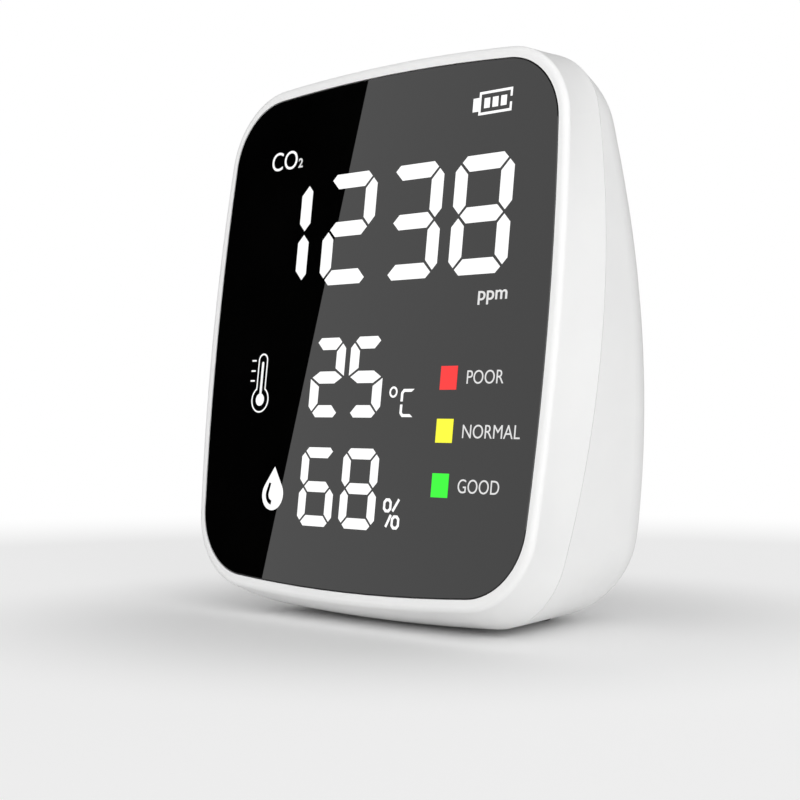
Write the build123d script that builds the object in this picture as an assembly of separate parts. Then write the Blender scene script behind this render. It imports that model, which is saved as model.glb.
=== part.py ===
from build123d import *
from collections import namedtuple
from math import cos, hypot, radians, sin, sqrt
import os

# Desk-top carbon dioxide monitor: a wedge-shaped white case whose leaning front is one black window.
# Row frame: +Z up, the window faces -Y, +X is the viewer's right, origin at the centre of the base.
#
# Two working frames are used below.
#   FACE: x right, y up the window, z out of the window, origin at the centre of the window's front.
#   REAR: x to the viewer's left, y up the back wall, z out of the back, origin on the back wall.
# "depth" always means the distance behind the window's front, measured square to it.

Outline = namedtuple("Outline", "half_w half_h side_r end_r corner_r")

# ---------------------------------------------------------------- driving dimensions, mm
LEAN = 6.9                       # the window leans back this many degrees
WINDOW_Y = -16.08                # window centre, from the middle of the base
WINDOW_Z = 46.7                  # window centre above the table

WINDOW = Outline(37.5, 41.35, 430.0, 340.0, 11.4)
WINDOW_THICK = 1.6
WINDOW_GAP = 0.1                 # round the window, in its pocket
ADHESIVE_THICK = 0.2
ADHESIVE_WIDTH = 2.2

RIM = 1.8                        # white border round the window
RIM_ROUND = 0.8
FRONT_END = 10.5                 # depth of the joint between the two shells
MID_DEPTH = 4.0                  # depth of the section that gives the front shell its bulge
MID_RING = Outline(39.15, 44.15, 230.0, 366.0, 13.7)
JOINT_RING = Outline(39.1, 45.05, 153.0, 416.0, 13.2)
BODY_V = -0.3                    # the shells' outlines sit this much lower than the window
JOINT_GAP = 0.1
WALL = 2.0
SHELF_THICK = 1.6                # ledge behind the window

REAR_END = 52.0                  # depth where the rear shell's tapered form is drawn to
REAR_RING = Outline(29.6, 38.1, 153.0, 416.0, 17.5)
REAR_RING_V = -2.0               # the rear outline sits lower, so the underside stays near level
BACK_TOP = 19.7                  # case depth at the top edge
BACK_BOTTOM = 46.1               # case depth at the bottom edge
BACK_ROUND = 14.0                # rounding of the rear edge
BACK_WALL = 2.2
BACK_ROUND_INSIDE = 11.5

LIP_LENGTH = 1.5                 # locating lip of the front shell
LIP_THICK = 0.9
LIP_GAP = 0.1

HOOK_U = 18.0                    # snap hooks, either side of the middle
HOOK_V = 40.1
HOOK_WIDTH = 6.0

DISPLAY_OPENING = (64.0, 72.0)   # hole in the ledge, across and up
DISPLAY_OPENING_V = 2.0
DISPLAY_CORNER_R = 5.0

FOOT_R = 3.6
FOOT_THICK = 1.8
FOOT_X = 13.0
FRONT_FOOT_Y = 12.6              # behind the window centre
REAR_FOOT_Y = 24.2
FOOT_PAD = 0.9                   # wall round a foot's pocket

# Display: digits are drawn on the centre lines of their segments; places are their left lines.
Digit = namedtuple("Digit", "places v width height stroke tip_gap")
CO2_DIGITS = Digit((-26.41, -11.0, 3.74, 18.12), 8.93, 9.36, 15.87, 2.55, 0.3)
TEMP_DIGITS = Digit((-11.02, -2.06), -12.9, 5.69, 10.9, 2.1, 0.26)
HUMID_DIGITS = Digit((-11.58, -1.75), -30.59, 6.36, 10.96, 1.82, 0.26)
STATUS_SIZE = (3.5, 3.67)
STATUS_U = 18.93
STATUS_V = {"red": -7.81, "yellow": -15.8, "green": -24.0}
ICON_WINDOWS = {                 # centre u, centre v, width, height of the lit area behind each mark
    "co2": (-23.0, 29.8, 8.6, 4.4),
    "battery": (23.23, 33.96, 8.8, 4.6),
    "ppm": (26.45, 4.1, 6.6, 2.9),
    "thermometer": (-24.8, -8.2, 5.6, 10.8),
    "drop": (-18.92, -25.75, 5.8, 7.8),
    "degree": (9.2, -11.4, 6.0, 5.2),
    "percent": (9.2, -28.7, 4.2, 5.2),
}

REFLECTOR_FRONT = 2.3
REFLECTOR_THICK = 4.7
REFLECTOR_GAP = 0.6              # round the reflector, in the ledge's hole
DIFFUSER_THICK = 0.2
GUIDE_FIT = 0.05
GUIDE_LENGTH = 3.6
BOARD = 1.2                      # thickness of every circuit board
DISPLAY_BOARD = (66.0, 74.0)
BOARD_EAR = (72.4, 25.0)
EAR_SCREW = (34.2, 9.5)
EAR_BOSS_R = 2.3
STANDOFF = 4.0                   # gap between the display board and the main board
STANDOFF_AT = ((-26.0, 21.0), (26.0, 21.0), (-26.0, -32.0), (26.0, -32.0))
MAIN_BOARD = (58.0, 61.0)
MAIN_BOARD_V = -4.5
MAIN_TONGUE = (10.0, 9.0)

SENSOR_BOARD = (33.0, 20.0)
SENSOR_V = 12.0
SENSOR_RAISE = 2.0
CHAMBER = (30.0, 17.0, 6.4)
BATTERY = (48.0, 28.0, 8.0)
BATTERY_V = -15.0
BATTERY_PAD = (40.0, 22.0, 0.5)
LEAD_R = 0.55
LEAD_U = (19.0, 21.0)
LEAD_RAISE = 3.2                 # the leads' axes, behind the main board
LEAD_BOW = 1.2                   # sideways step on the way to the plug
PLUG = (5.6, 3.4, 3.2)
PLUG_V = 3.6                     # lower edge of the plug
SOCKET_WIDTH = 6.6

DRIVER = (8.0, 8.0, 1.1)         # display driver, on the back of the display board
DRIVER_AT = (6.0, 14.0)
CONTROLLER = (9.0, 9.0, 1.3)     # microcontroller, on the front of the main board
CONTROLLER_AT = (-12.0, 4.0)
CHIP_CHAMFER = 0.25
HEADER = (20.0, 2.5)             # plug strip between the two boards
HEADER_V = -25.0
HEADER_PITCH = 2.5
HEADER_GAPS = 7
PIN = 0.6                        # square pins under the sensor board
PIN_PITCH = 2.54
PINS_A_SIDE = 5
PIN_ROW = 8.6                    # from the sensor board's middle
GAS_WINDOW = (9.0, 6.0, 1.2)     # pocket in the chamber's lid
GAS_WINDOW_U = 7.0
FILTER_THICK = 0.5
GASKET = (27.0, 14.0, 1.3)
GASKET_HOLE = (24.0, 10.0)
CLIMATE = (3.0, 3.0, 1.1)        # temperature and humidity sensor
BUZZER = (4.7, 4.5)              # radius, height
BUZZER_AT = (22.6, 14.5)

CHARGE_BOARD = (42.0, 13.5)
CHARGE_BOARD_Y = 26.25           # its middle, behind the window centre
CHARGE_BOARD_Z = 20.0            # its underside above the table
CHARGE_SCREW_X = 19.0
USB_SHELL = (8.94, 7.3, 3.26)
USB_SHELL_WALL = 0.3
USB_MOUTH_Y = 35.2
PORT_HOLE = (9.6, 3.9)
PORT_RECESS = (13.4, 7.6, 1.0)

BUTTON_X = 14.0
BUTTON_Z = 26.4
BUTTON_R = 3.8
BUTTON_GAP = 0.15
BUTTON_PROUD = 0.8
BUTTON_FLANGE = (4.8, 0.9)
BUTTON_FLANGE_Y = 31.3
PLUNGER_R = 1.7
PLUNGER_GAP = 0.05
SWITCH = (6.0, 3.5, 8.2)
SWITCH_Y = 25.0
PLUNGER_PROUD = 1.7              # the plunger stands this far out of its switch
PIN_R = 1.4                      # the button's inner pin, which meets the plunger

HARNESS_PLUG = (12.0, 3.6, 3.0)  # on the main board
HARNESS_V = -32.4
LOWER_PLUG = (12.0, 3.0, 2.4)    # under the charging board
LOWER_PLUG_Y = 21.6
RIBBON = (8.0, 0.4)

VENT_COUNT = 11
VENT_PITCH = 3.6
VENT_SLOT = (18.0, 1.8)
VENT_UP = 12.5                   # middle of the vent above REAR's origin
MESH = (42.0, 23.0, 0.4)

# ---------------------------------------------------------------- frames worked out from them
LEAN_SIN = sin(radians(LEAN))
LEAN_COS = cos(radians(LEAN))
FACE = Plane(origin=(0, WINDOW_Y, WINDOW_Z), x_dir=(1, 0, 0), z_dir=(0, -LEAN_COS, LEAN_SIN))

BACK_SLOPE = (BACK_BOTTOM - BACK_TOP) / (2 * JOINT_RING.half_h)
BACK_MID = (BACK_BOTTOM + BACK_TOP) / 2


def at_face(u, v, depth):
    """Row position of a point given across, up and behind the window."""
    y = WINDOW_Y + v * LEAN_SIN + depth * LEAN_COS
    z = WINDOW_Z + v * LEAN_COS - depth * LEAN_SIN
    return Vector(u, y, z)


BACK_UP = (at_face(0, 1, BACK_MID - BACK_SLOPE) - at_face(0, 0, BACK_MID)).normalized()
REAR = Plane(origin=at_face(0, 0, BACK_MID), x_dir=(-1, 0, 0), z_dir=Vector(-1, 0, 0).cross(BACK_UP))

SHELF_FRONT = WINDOW_THICK + ADHESIVE_THICK
SHELF_BACK = SHELF_FRONT + SHELF_THICK
DISPLAY_BOARD_FRONT = REFLECTOR_FRONT + REFLECTOR_THICK
DISPLAY_BOARD_BACK = DISPLAY_BOARD_FRONT + BOARD
MAIN_BOARD_FRONT = DISPLAY_BOARD_BACK + STANDOFF
MAIN_BOARD_BACK = MAIN_BOARD_FRONT + BOARD
SENSOR_BOARD_FRONT = MAIN_BOARD_BACK + SENSOR_RAISE
CHAMBER_FRONT = SENSOR_BOARD_FRONT + BOARD
LEAD_DEPTH = MAIN_BOARD_BACK + LEAD_RAISE
PLUG_U = sum(LEAD_U) / 2 + LEAD_BOW

MOST = 200.0                     # larger than the whole case, for cutting blocks


# ---------------------------------------------------------------- outline helpers
def grown(ring, by):
    """The same outline moved outward by a distance."""
    return Outline(*(value + by for value in ring))


def corner_centre(ring):
    """Centre of the upper right corner arc, which touches the side arc and the end arc inside."""
    side_x = ring.half_w - ring.side_r
    end_y = ring.half_h - ring.end_r
    reach_side = ring.side_r - ring.corner_r
    reach_end = ring.end_r - ring.corner_r
    apart = hypot(side_x, end_y)
    along = (reach_side ** 2 - reach_end ** 2 + apart ** 2) / (2 * apart)
    away = sqrt(reach_side ** 2 - along ** 2)
    to_end = (-side_x / apart, end_y / apart)
    return (side_x + along * to_end[0] - away * to_end[1], along * to_end[1] + away * to_end[0])


def ring_wire(ring):
    """Closed wire of four shallow arcs joined by four round corners, about the origin."""
    cx, cy = corner_centre(ring)
    side_dir = Vector(cx - (ring.half_w - ring.side_r), cy).normalized()
    end_dir = Vector(cx, cy - (ring.half_h - ring.end_r)).normalized()
    centre = Vector(cx, cy)
    start = centre + side_dir * ring.corner_r
    middle = centre + (side_dir + end_dir).normalized() * ring.corner_r
    stop = centre + end_dir * ring.corner_r
    edges = []
    for right, up in ((1, 1), (-1, 1), (-1, -1), (1, -1)):
        points = [Vector(p.X * right, p.Y * up) for p in (start, middle, stop)]
        if right * up < 0:
            points.reverse()
        edges.append(ThreePointArc(*points))
        if right * up > 0:
            shallow = (points[2], Vector(0, up * ring.half_h), Vector(-points[2].X, points[2].Y))
        else:
            shallow = (points[2], Vector(right * ring.half_w, 0), Vector(points[2].X, -points[2].Y))
        edges.append(ThreePointArc(*shallow))
    return Wire(edges)


def ring_face(ring, depth, v=0.0):
    return Pos(0, v, -depth) * Face(ring_wire(ring))


def ring_plate(ring, front, thick, v=0.0):
    """Plate with a given outline, its front at a depth behind the window's front."""
    return extrude(ring_face(ring, front, v), amount=thick, dir=(0, 0, -1))


def rounded_plate(width, height, radius, front, thick, u=0.0, v=0.0):
    """Rounded rectangular plate in the FACE frame."""
    flat = Pos(u, v, -front) * RectangleRounded(width, height, radius)
    return extrude(flat, amount=thick, dir=(0, 0, -1))


def block(width, height, thick, front, u=0.0, v=0.0):
    """Rectangular block in the FACE frame, from a depth backwards."""
    return Pos(u, v, -front - thick / 2) * Box(width, height, thick)


def rod(radius, front, length, u=0.0, v=0.0):
    """Round rod square to the window in the FACE frame, from a depth backwards."""
    return Pos(u, v, -front - length / 2) * Cylinder(radius, length)


def row_box(width, length, height, x, y, z):
    """Block in the row frame: y counts from the window centre, z is its underside."""
    return Pos(x, WINDOW_Y + y, z + height / 2) * Box(width, length, height)


def upright(radius, height, x, y, z):
    """Vertical cylinder in the row frame: y counts from the window centre, z is its underside."""
    return Pos(x, WINDOW_Y + y, z + height / 2) * Cylinder(radius, height)


def along_y(radius, length, x, y, z):
    """Cylinder along Y in the row frame, from y backwards."""
    return Pos(x, WINDOW_Y + y + length / 2, z) * Rot(90, 0, 0) * Cylinder(radius, length)


def save(name, shape):
    if isinstance(shape, (list, ShapeList)):
        shape = Compound(children=[solid for piece in shape for solid in piece.solids()])
    shape.label = name
    export_step(shape, "parts/" + name + ".step")


# ---------------------------------------------------------------- case
def front_form():
    """Outer form of the front shell, before hollowing."""
    rim = grown(WINDOW, RIM)
    middle = ring_face(MID_RING, MID_DEPTH, BODY_V)
    form = loft([ring_face(rim, 0), middle, ring_face(JOINT_RING, FRONT_END, BODY_V)])
    front_edges = form.faces().sort_by(Axis.Z)[-1].edges()
    return fillet(front_edges, RIM_ROUND)


def snap_hook(u):
    """Hook that reaches back from the top wall of the front shell."""
    arm = block(HOOK_WIDTH, 1.0, 8.7, 6.0, u, HOOK_V)
    root = block(HOOK_WIDTH, 3.6, 3.6, 6.0, u, HOOK_V + 1.3)
    barb = block(HOOK_WIDTH, 0.7, 1.2, 13.5, u, HOOK_V + 0.65)
    return arm + root + barb


def screw_block(x):
    """Block at the bottom of the front shell that takes a case screw from below."""
    length = FRONT_FOOT_Y + 6.0
    return row_box(7.0, length, 5.2, x, FRONT_FOOT_Y + 3.8 - length / 2, 4.8)


def front_housing():
    lip_ring = grown(JOINT_RING, LIP_THICK - WALL)
    lip = ring_plate(lip_ring, FRONT_END - 1.0, LIP_LENGTH + 1.0, BODY_V)
    shell = front_form() + lip
    straight = FRONT_END - 2.0
    inside_ring = grown(JOINT_RING, -WALL)
    inside_front = ring_face(grown(MID_RING, -WALL), SHELF_BACK, BODY_V)
    cavity = loft([inside_front, ring_face(inside_ring, straight, BODY_V)], ruled=True)
    cavity += ring_plate(inside_ring, straight, LIP_LENGTH + 4.0, BODY_V)
    pocket = ring_plate(grown(WINDOW, WINDOW_GAP), -1.0, SHELF_FRONT + 1.0)
    width, height = DISPLAY_OPENING
    opening = rounded_plate(width, height, DISPLAY_CORNER_R, 0, SHELF_BACK + 1, v=DISPLAY_OPENING_V)
    shell = shell - cavity - pocket - opening
    ear_u, ear_v = EAR_SCREW
    for u in (-ear_u, ear_u):
        for v in (-ear_v, ear_v):
            shell += rod(EAR_BOSS_R, SHELF_BACK - 0.5, DISPLAY_BOARD_FRONT - SHELF_BACK + 0.5, u, v)
            shell -= rod(0.85, SHELF_BACK + 0.4, DISPLAY_BOARD_FRONT, u, v)
    for u in (-HOOK_U, HOOK_U):
        shell += snap_hook(u)
    shell = FACE * shell
    inside = FACE * ring_plate(grown(MID_RING, -WALL / 2), SHELF_BACK - 0.5, 30.0, BODY_V)
    for x in (-FOOT_X, FOOT_X):
        shell += screw_block(x) & inside
        shell -= upright(1.15, 8.0, x, FRONT_FOOT_Y, 4.0)
    return shell


def rear_form(inset, start, back_wall, rounding):
    """Tapered form of the rear shell, cut by the back plane and rounded behind."""
    begin = grown(JOINT_RING, -inset)
    end = grown(REAR_RING, -inset)
    sections = [ring_face(begin, start, BODY_V), ring_face(end, REAR_END, REAR_RING_V)]
    form = FACE * loft(sections, ruled=True)
    form -= REAR * Pos(0, 0, MOST / 2 - back_wall) * Box(MOST, MOST, MOST)
    back_edges = form.faces().sort_by(Axis(REAR.origin, REAR.z_dir))[-1].edges()
    return fillet(back_edges, rounding)


def vent_slots():
    slots = []
    for index in range(VENT_COUNT):
        x = (index - (VENT_COUNT - 1) / 2) * VENT_PITCH
        slot = Rot(0, 0, 90) * extrude(SlotOverall(*VENT_SLOT), 6, both=True)
        slots.append(REAR * Pos(x, VENT_UP, 0) * slot)
    return slots


def port_cut():
    """Level opening for the charging socket, with a shallow recess for the plug's grip."""
    z = CHARGE_BOARD_Z + BOARD + USB_SHELL[2] / 2
    start = Plane(origin=(0, WINDOW_Y + USB_MOUTH_Y - 4, z), x_dir=(1, 0, 0), z_dir=(0, 1, 0))
    hole = start * extrude(SlotOverall(*PORT_HOLE), 8)
    level = (z - REAR.origin.Z) / BACK_UP.Z
    width, height, deep = PORT_RECESS
    recess = REAR * Pos(0, level, -deep) * extrude(RectangleRounded(width, height, 3.2), 6)
    return [hole, recess]


def rear_housing():
    start = FRONT_END + JOINT_GAP
    shell = rear_form(0, start, 0, BACK_ROUND)
    shell -= rear_form(WALL, start - 0.01, BACK_WALL, BACK_ROUND_INSIDE)
    lip_room = grown(JOINT_RING, LIP_THICK - WALL + LIP_GAP)
    shell -= FACE * ring_plate(lip_room, start - 0.01, LIP_LENGTH + 0.2, BODY_V)
    for side in (-1, 1):
        x = side * FOOT_X
        post_x = side * CHARGE_SCREW_X
        shell += upright(2.4, CHARGE_BOARD_Z - 2.0, post_x, CHARGE_BOARD_Y, 2.0)
        shell -= upright(0.85, 8.0, post_x, CHARGE_BOARD_Y, CHARGE_BOARD_Z - 7.0)
        for y in (FRONT_FOOT_Y, REAR_FOOT_Y):
            shell += upright(FOOT_R + FOOT_PAD, 2.4, x, y, FOOT_THICK)
            shell -= upright(FOOT_R + 0.1, FOOT_THICK + 1, x, y, -1.0)
        shell -= upright(2.6, 1.5, x, FRONT_FOOT_Y, FOOT_THICK - 0.1)
        shell -= upright(1.25, 8.0, x, FRONT_FOOT_Y, 1.0)
        shell += FACE * block(HOOK_WIDTH + 2.0, 2.2, 1.0, 12.3, side * HOOK_U, HOOK_V + 1.75)
        shell -= along_y(BUTTON_R + BUTTON_GAP, 9.0, side * BUTTON_X, 31.0, BUTTON_Z)
    for cut in vent_slots() + port_cut():
        shell -= cut
    return shell


def rubber_feet():
    feet = []
    for x in (-FOOT_X, FOOT_X):
        for y in (FRONT_FOOT_Y, REAR_FOOT_Y):
            foot = upright(FOOT_R, FOOT_THICK, x, y, 0.0)
            feet.append(fillet(foot.faces().sort_by(Axis.Z)[0].edges(), 0.4))
    return feet


# ---------------------------------------------------------------- fasteners
def pan_screw(radius, length, head_r, head):
    """Screw along +Z with its head's underside at the origin and its shank going up."""
    shank = Pos(0, 0, length / 2) * Cylinder(radius, length)
    cap = Pos(0, 0, -head / 2) * Cylinder(head_r, head)
    cap = fillet(cap.faces().sort_by(Axis.Z)[0].edges(), head * 0.4)
    slot = Box(head_r * 1.2, head_r * 0.3, head)
    cross = Pos(0, 0, -head) * (slot + Rot(0, 0, 90) * slot)
    return shank + cap - cross


def case_screws():
    screw = pan_screw(1.1, 6.6, 2.3, 1.1)
    return [Pos(x, WINDOW_Y + FRONT_FOOT_Y, 3.1) * screw for x in (-FOOT_X, FOOT_X)]


def face_screw(u, v, depth):
    """Small screw driven towards the window, its head's underside at a depth."""
    return FACE * Pos(u, v, -depth) * pan_screw(0.8, 3.4, 1.7, 1.0)


def display_board_screws():
    ear_u, ear_v = EAR_SCREW
    return [face_screw(u, v, DISPLAY_BOARD_BACK) for u in (-ear_u, ear_u) for v in (-ear_v, ear_v)]


def main_board_screws():
    return [face_screw(u, v, MAIN_BOARD_BACK) for u, v in STANDOFF_AT]


def charging_board_screws():
    top = CHARGE_BOARD_Z + BOARD
    screw = Rot(180, 0, 0) * pan_screw(0.8, 5.0, 1.7, 1.0)
    return [Pos(x, WINDOW_Y + CHARGE_BOARD_Y, top) * screw for x in (-CHARGE_SCREW_X, CHARGE_SCREW_X)]


# ---------------------------------------------------------------- display
def segment(start, stop, stroke, gap):
    """Hexagonal segment along the line from start to stop."""
    along = (stop - start).normalized()
    side = Vector(-along.Y, along.X) * (stroke / 2)
    tip_a = start + along * gap
    tip_b = stop - along * gap
    inset = along * (stroke / 2)
    corners = (tip_a, tip_a + inset + side, tip_b - inset + side,
               tip_b, tip_b - inset - side, tip_a + inset - side)
    return make_face(Polyline(*corners, close=True))


def digit_segments(digit, grow):
    """Flat segments of a row of seven-segment digits; grow widens them on every side."""
    faces = []
    half = digit.height / 2
    w = digit.width
    ends = (((0, 2), (1, 2)), ((1, 2), (1, 1)), ((1, 1), (1, 0)), ((0, 0), (1, 0)),
            ((0, 1), (0, 0)), ((0, 2), (0, 1)), ((0, 1), (1, 1)))
    for u in digit.places:
        for (ax, ay), (bx, by) in ends:
            start = Vector(u + ax * w, digit.v + ay * half)
            stop = Vector(u + bx * w, digit.v + by * half)
            faces.append(segment(start, stop, digit.stroke + 2 * grow, digit.tip_gap - grow))
    return faces


def icon_faces(grow):
    faces = []
    for u, v, width, height in ICON_WINDOWS.values():
        faces.append(Pos(u, v) * Rectangle(width + 2 * grow, height + 2 * grow))
    return faces


def status_face(colour, grow):
    width, height = STATUS_SIZE
    return Pos(STATUS_U, STATUS_V[colour]) * Rectangle(width + 2 * grow, height + 2 * grow)


def lit_faces(grow):
    """Every flat light opening of the display."""
    faces = digit_segments(CO2_DIGITS, grow)
    faces += digit_segments(TEMP_DIGITS, grow)
    faces += digit_segments(HUMID_DIGITS, grow)
    faces += icon_faces(grow)
    faces += [status_face(colour, grow) for colour in STATUS_V]
    return faces


def guides(faces):
    """Light guides standing in the reflector's openings, flush with its front."""
    return [FACE * Pos(0, 0, -REFLECTOR_FRONT) * extrude(face, amount=GUIDE_LENGTH, dir=(0, 0, -1))
            for face in faces]


def display_reflector():
    width = DISPLAY_OPENING[0] - 2 * REFLECTOR_GAP
    height = DISPLAY_OPENING[1] - 2 * REFLECTOR_GAP
    body = rounded_plate(width, height, DISPLAY_CORNER_R - REFLECTOR_GAP, REFLECTOR_FRONT,
                         REFLECTOR_THICK, v=DISPLAY_OPENING_V)
    wells = [Pos(0, 0, -REFLECTOR_FRONT + 1) * extrude(face, amount=REFLECTOR_THICK + 2, dir=(0, 0, -1))
             for face in lit_faces(GUIDE_FIT)]
    return FACE * (body - wells)


def diffuser_film():
    width = DISPLAY_OPENING[0] - 2 * REFLECTOR_GAP
    height = DISPLAY_OPENING[1] - 2 * REFLECTOR_GAP
    front = REFLECTOR_FRONT - DIFFUSER_THICK
    return FACE * rounded_plate(width, height, DISPLAY_CORNER_R - REFLECTOR_GAP, front,
                                DIFFUSER_THICK, v=DISPLAY_OPENING_V)


def display_leds():
    """One light-emitting diode on the board behind every light opening."""
    chips = []
    for face in lit_faces(0):
        centre = face.center()
        chips.append(FACE * block(1.6, 0.8, 0.7, DISPLAY_BOARD_FRONT - 0.7, centre.X, centre.Y))
    return chips


def display_window():
    plate = ring_plate(WINDOW, 0, WINDOW_THICK)
    return FACE * chamfer(plate.faces().sort_by(Axis.Z)[-1].edges(), 0.15)


def window_adhesive():
    outer = ring_plate(grown(WINDOW, -0.3), WINDOW_THICK, ADHESIVE_THICK)
    inner = ring_plate(grown(WINDOW, -0.3 - ADHESIVE_WIDTH), WINDOW_THICK - 0.1, ADHESIVE_THICK + 0.2)
    return FACE * (outer - inner)


def display_board():
    width, height = DISPLAY_BOARD
    board = rounded_plate(width, height, 8.0, DISPLAY_BOARD_FRONT, BOARD, v=DISPLAY_OPENING_V)
    ear_width, ear_height = BOARD_EAR
    board += rounded_plate(ear_width, ear_height, 1.5, DISPLAY_BOARD_FRONT, BOARD)
    ear_u, ear_v = EAR_SCREW
    for u in (-ear_u, ear_u):
        for v in (-ear_v, ear_v):
            board -= rod(1.0, DISPLAY_BOARD_FRONT - 1, BOARD + 2, u, v)
    return FACE * board


# ---------------------------------------------------------------- main board and what it carries
def board_standoffs():
    posts = []
    for u, v in STANDOFF_AT:
        post = rod(2.0, DISPLAY_BOARD_BACK, STANDOFF, u, v)
        posts.append(FACE * (post - rod(0.85, DISPLAY_BOARD_BACK + 0.6, STANDOFF, u, v)))
    return posts


def main_board():
    width, height = MAIN_BOARD
    board = rounded_plate(width, height, 1.5, MAIN_BOARD_FRONT, BOARD, v=MAIN_BOARD_V)
    tongue_w, tongue_h = MAIN_TONGUE
    tongue_v = MAIN_BOARD_V + height / 2 + tongue_h / 2 - 0.5
    board += block(tongue_w, tongue_h, BOARD, MAIN_BOARD_FRONT, 0, tongue_v)
    for u, v in STANDOFF_AT:
        board -= rod(1.0, MAIN_BOARD_FRONT - 1, BOARD + 2, u, v)
    return FACE * board


def display_driver():
    body = block(*DRIVER, DISPLAY_BOARD_BACK, *DRIVER_AT)
    return FACE * chamfer(body.faces().sort_by(Axis.Z)[0].edges(), CHIP_CHAMFER)


def microcontroller():
    body = block(*CONTROLLER, MAIN_BOARD_FRONT - CONTROLLER[2], *CONTROLLER_AT)
    return FACE * chamfer(body.faces().sort_by(Axis.Z)[-1].edges(), CHIP_CHAMFER)


def board_header():
    """Plug strip that joins the display board to the main board."""
    width, height = HEADER
    strip = block(width, height, STANDOFF, DISPLAY_BOARD_BACK, 0, HEADER_V)
    for index in range(HEADER_GAPS):
        u = (index - (HEADER_GAPS - 1) / 2) * HEADER_PITCH
        front = DISPLAY_BOARD_BACK - 0.5
        strip -= block(1.0, 0.4, STANDOFF + 1, front, u, HEADER_V + height / 2 - 0.05)
    return FACE * strip


def co2_sensor_board():
    width, height = SENSOR_BOARD
    return FACE * rounded_plate(width, height, 1.0, SENSOR_BOARD_FRONT, BOARD, v=SENSOR_V)


def co2_sensor_pins():
    pins = []
    for v in (SENSOR_V - PIN_ROW, SENSOR_V + PIN_ROW):
        for index in range(PINS_A_SIDE):
            u = (index - (PINS_A_SIDE - 1) / 2) * PIN_PITCH
            pins.append(FACE * block(PIN, PIN, SENSOR_RAISE, MAIN_BOARD_BACK, u, v))
    return pins


def co2_sensor_chamber():
    """Gold-plated optical chamber with its two gas windows."""
    width, height, thick = CHAMBER
    body = rounded_plate(width, height, 2.0, CHAMBER_FRONT, thick, v=SENSOR_V)
    body = chamfer(body.faces().sort_by(Axis.Z)[0].edges(), 0.8)
    across, up, deep = GAS_WINDOW
    for u in (-GAS_WINDOW_U, GAS_WINDOW_U):
        body -= rounded_plate(across, up, 1.5, CHAMBER_FRONT + thick - deep, deep + 2, u, SENSOR_V)
    return FACE * body


def co2_sensor_filters():
    """Dust filters lying in the chamber's gas windows."""
    across, up, deep = GAS_WINDOW
    front = CHAMBER_FRONT + CHAMBER[2] - deep
    return [FACE * rounded_plate(across - 0.2, up - 0.2, 1.4, front, FILTER_THICK, u, SENSOR_V)
            for u in (-GAS_WINDOW_U, GAS_WINDOW_U)]


def sensor_gasket():
    """Foam frame that keeps the sensor breathing through the vent alone."""
    front = CHAMBER_FRONT + CHAMBER[2]
    width, height, thick = GASKET
    outer = rounded_plate(width, height, 2.5, front, thick, v=SENSOR_V)
    inner = rounded_plate(*GASKET_HOLE, 1.5, front - 1, thick + 2, v=SENSOR_V)
    return FACE * (outer - inner)


def climate_sensor():
    """Temperature and humidity sensor on the main board's tongue, with its air hole."""
    v = MAIN_BOARD_V + MAIN_BOARD[1] / 2 + 5.5
    body = block(*CLIMATE, MAIN_BOARD_BACK, 0, v)
    return FACE * (body - rod(0.6, MAIN_BOARD_BACK + 0.5, 2.0, 0, v))


def buzzer():
    radius, height = BUZZER
    body = rod(radius, MAIN_BOARD_BACK, height, *BUZZER_AT)
    body = fillet(body.faces().sort_by(Axis.Z)[0].edges(), 0.4)
    return FACE * (body - rod(1.0, MAIN_BOARD_BACK + height - 1.5, 3.0, *BUZZER_AT))


def battery_pad():
    width, height, thick = BATTERY_PAD
    return FACE * rounded_plate(width, height, 1.0, MAIN_BOARD_BACK, thick, v=BATTERY_V)


def battery_cell():
    width, height, thick = BATTERY
    cell = rounded_plate(width, height, 1.5, MAIN_BOARD_BACK + BATTERY_PAD[2], thick, v=BATTERY_V)
    flat_faces = cell.faces().filter_by(Axis.Z)
    return FACE * fillet(flat_faces.edges(), 1.2)


def battery_leads():
    """Two insulated leads from the cell's top edge to its plug, each a short run with one bow."""
    leads = []
    cell_top = BATTERY_V + BATTERY[1] / 2
    for u in LEAD_U:
        beside = u + LEAD_BOW
        points = [(u, cell_top, -LEAD_DEPTH), (u, cell_top + 1.4, -LEAD_DEPTH),
                  (beside, cell_top + 2.8, -LEAD_DEPTH), (beside, PLUG_V, -LEAD_DEPTH)]
        path = FilletPolyline(*points, radius=1.0)
        section = Plane(origin=points[0], z_dir=(0, 1, 0)) * Circle(LEAD_R)
        leads.append(FACE * sweep(section, path=path))
    return leads


def battery_plug():
    width, height, thick = PLUG
    middle = PLUG_V + height / 2
    body = block(width, height, thick, LEAD_DEPTH - thick / 2, PLUG_U, middle)
    groove = block(width / 2, height + 1, 0.4, LEAD_DEPTH + thick / 2 - 0.3, PLUG_U, middle)
    return FACE * (body - groove)


def battery_socket():
    """Board socket under and behind the battery plug."""
    under = LEAD_RAISE - PLUG[2] / 2
    body = block(SOCKET_WIDTH, PLUG[1], under, MAIN_BOARD_BACK, PLUG_U, PLUG_V + PLUG[1] / 2)
    stop = block(SOCKET_WIDTH, 1.0, 4.4, MAIN_BOARD_BACK, PLUG_U, PLUG_V + PLUG[1] + 0.5)
    return FACE * (body + stop)


# ---------------------------------------------------------------- charging board
def charging_board():
    width, length = CHARGE_BOARD
    board = row_box(width, length, BOARD, 0, CHARGE_BOARD_Y, CHARGE_BOARD_Z)
    board = fillet(board.edges().filter_by(Axis.Z), 1.0)
    for x in (-CHARGE_SCREW_X, CHARGE_SCREW_X):
        board -= upright(1.0, 4.0, x, CHARGE_BOARD_Y, CHARGE_BOARD_Z - 1)
    return board


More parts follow.
